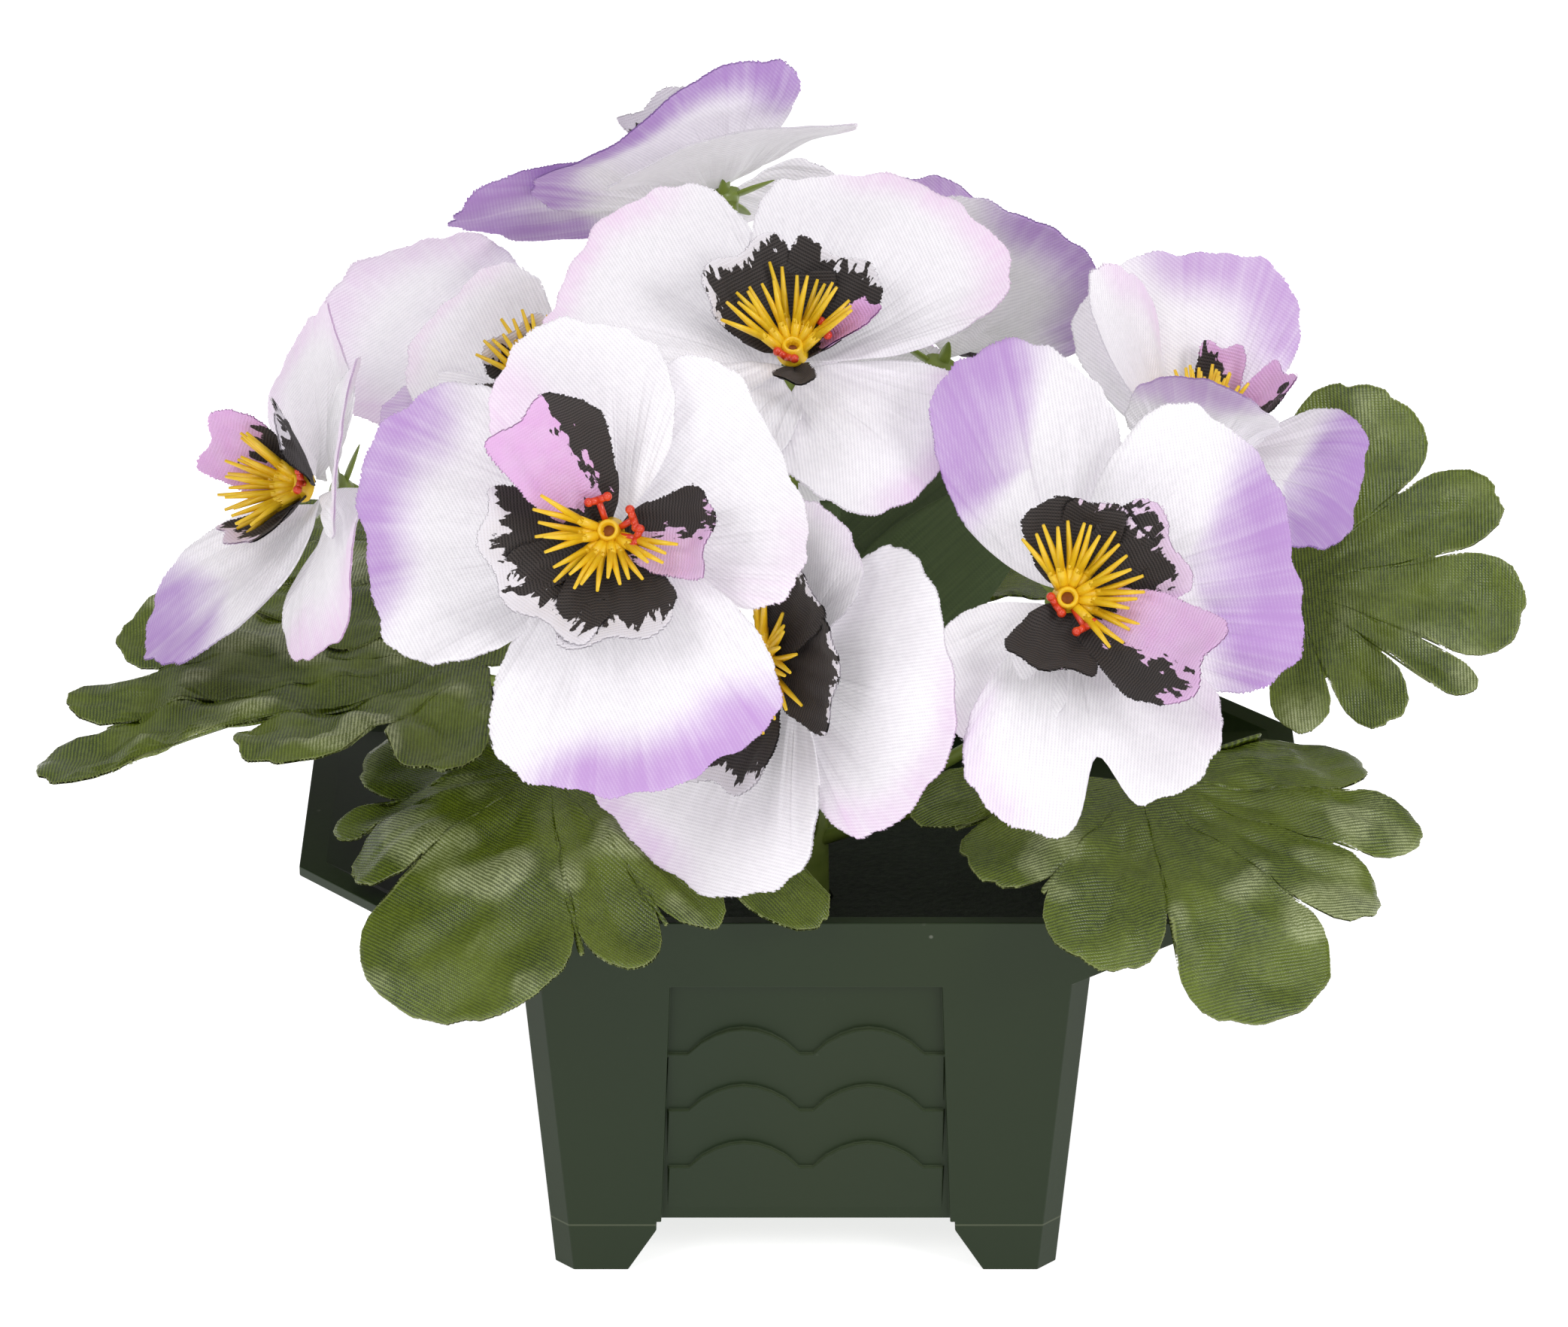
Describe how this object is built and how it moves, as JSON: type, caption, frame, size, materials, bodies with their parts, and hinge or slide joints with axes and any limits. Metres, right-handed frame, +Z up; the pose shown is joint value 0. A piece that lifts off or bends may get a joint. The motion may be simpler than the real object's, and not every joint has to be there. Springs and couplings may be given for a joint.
{
  "type": "potted pansy planter",
  "caption": "Artificial pansy bush with broad fabric blooms, plastic stamens and lobed leaves, in a square footed plastic planter with scalloped side panels.",
  "frame": {"origin": "on the surface the planter stands on, under the middle of the whole plant seen from above", "axes": "+Z up, the front of the planter towards -Y, the long side of the rim along X"},
  "size_m": [0.2733, 0.1807, 0.21],
  "materials": {
    "planter": "semi-matt dark green moulded plastic",
    "foam": "dull dark green dry foam",
    "stems": "glossy yellow-green plastic",
    "petals": "woven polyester, white fading to lilac and purple at the edges",
    "throat": "woven polyester dyed charcoal, partly pink",
    "stamens": "glossy yellow plastic",
    "leaves": "woven polyester, olive green with a satin sheen"
  },
  "bodies": {
    "root": {"planter": "planter", "foam_block": "foam", "stems": "stems", "petals_front_left": "petals", "throat_front_left": "throat", "stamens_front_left": "stamens", "petals_top": "petals", "throat_top": "throat", "stamens_top": "stamens", "petals_front_right": "petals", "throat_front_right": "throat", "stamens_front_right": "stamens", "petals_front_low": "petals", "throat_front_low": "throat", "stamens_front_low": "stamens", "petals_left": "petals", "throat_left": "throat", "stamens_left": "stamens", "petals_back_left": "petals", "throat_back_left": "throat", "stamens_back_left": "stamens", "petals_crown": "petals", "throat_crown": "throat", "stamens_crown": "stamens", "petals_back_right": "petals", "throat_back_right": "throat", "stamens_back_right": "stamens", "petals_right": "petals", "throat_right": "throat", "stamens_right": "stamens", "petals_rear": "petals", "throat_rear": "throat", "stamens_rear": "stamens", "leaf_front_left": "leaves", "leaf_front_right": "leaves", "leaf_left": "leaves", "leaf_right": "leaves", "leaf_back_left": "leaves", "leaf_back_right": "leaves", "strap_leaf_centre": "leaves", "strap_leaf_right": "leaves", "strap_leaf_low_right": "leaves"}
  },
  "joints": []
}
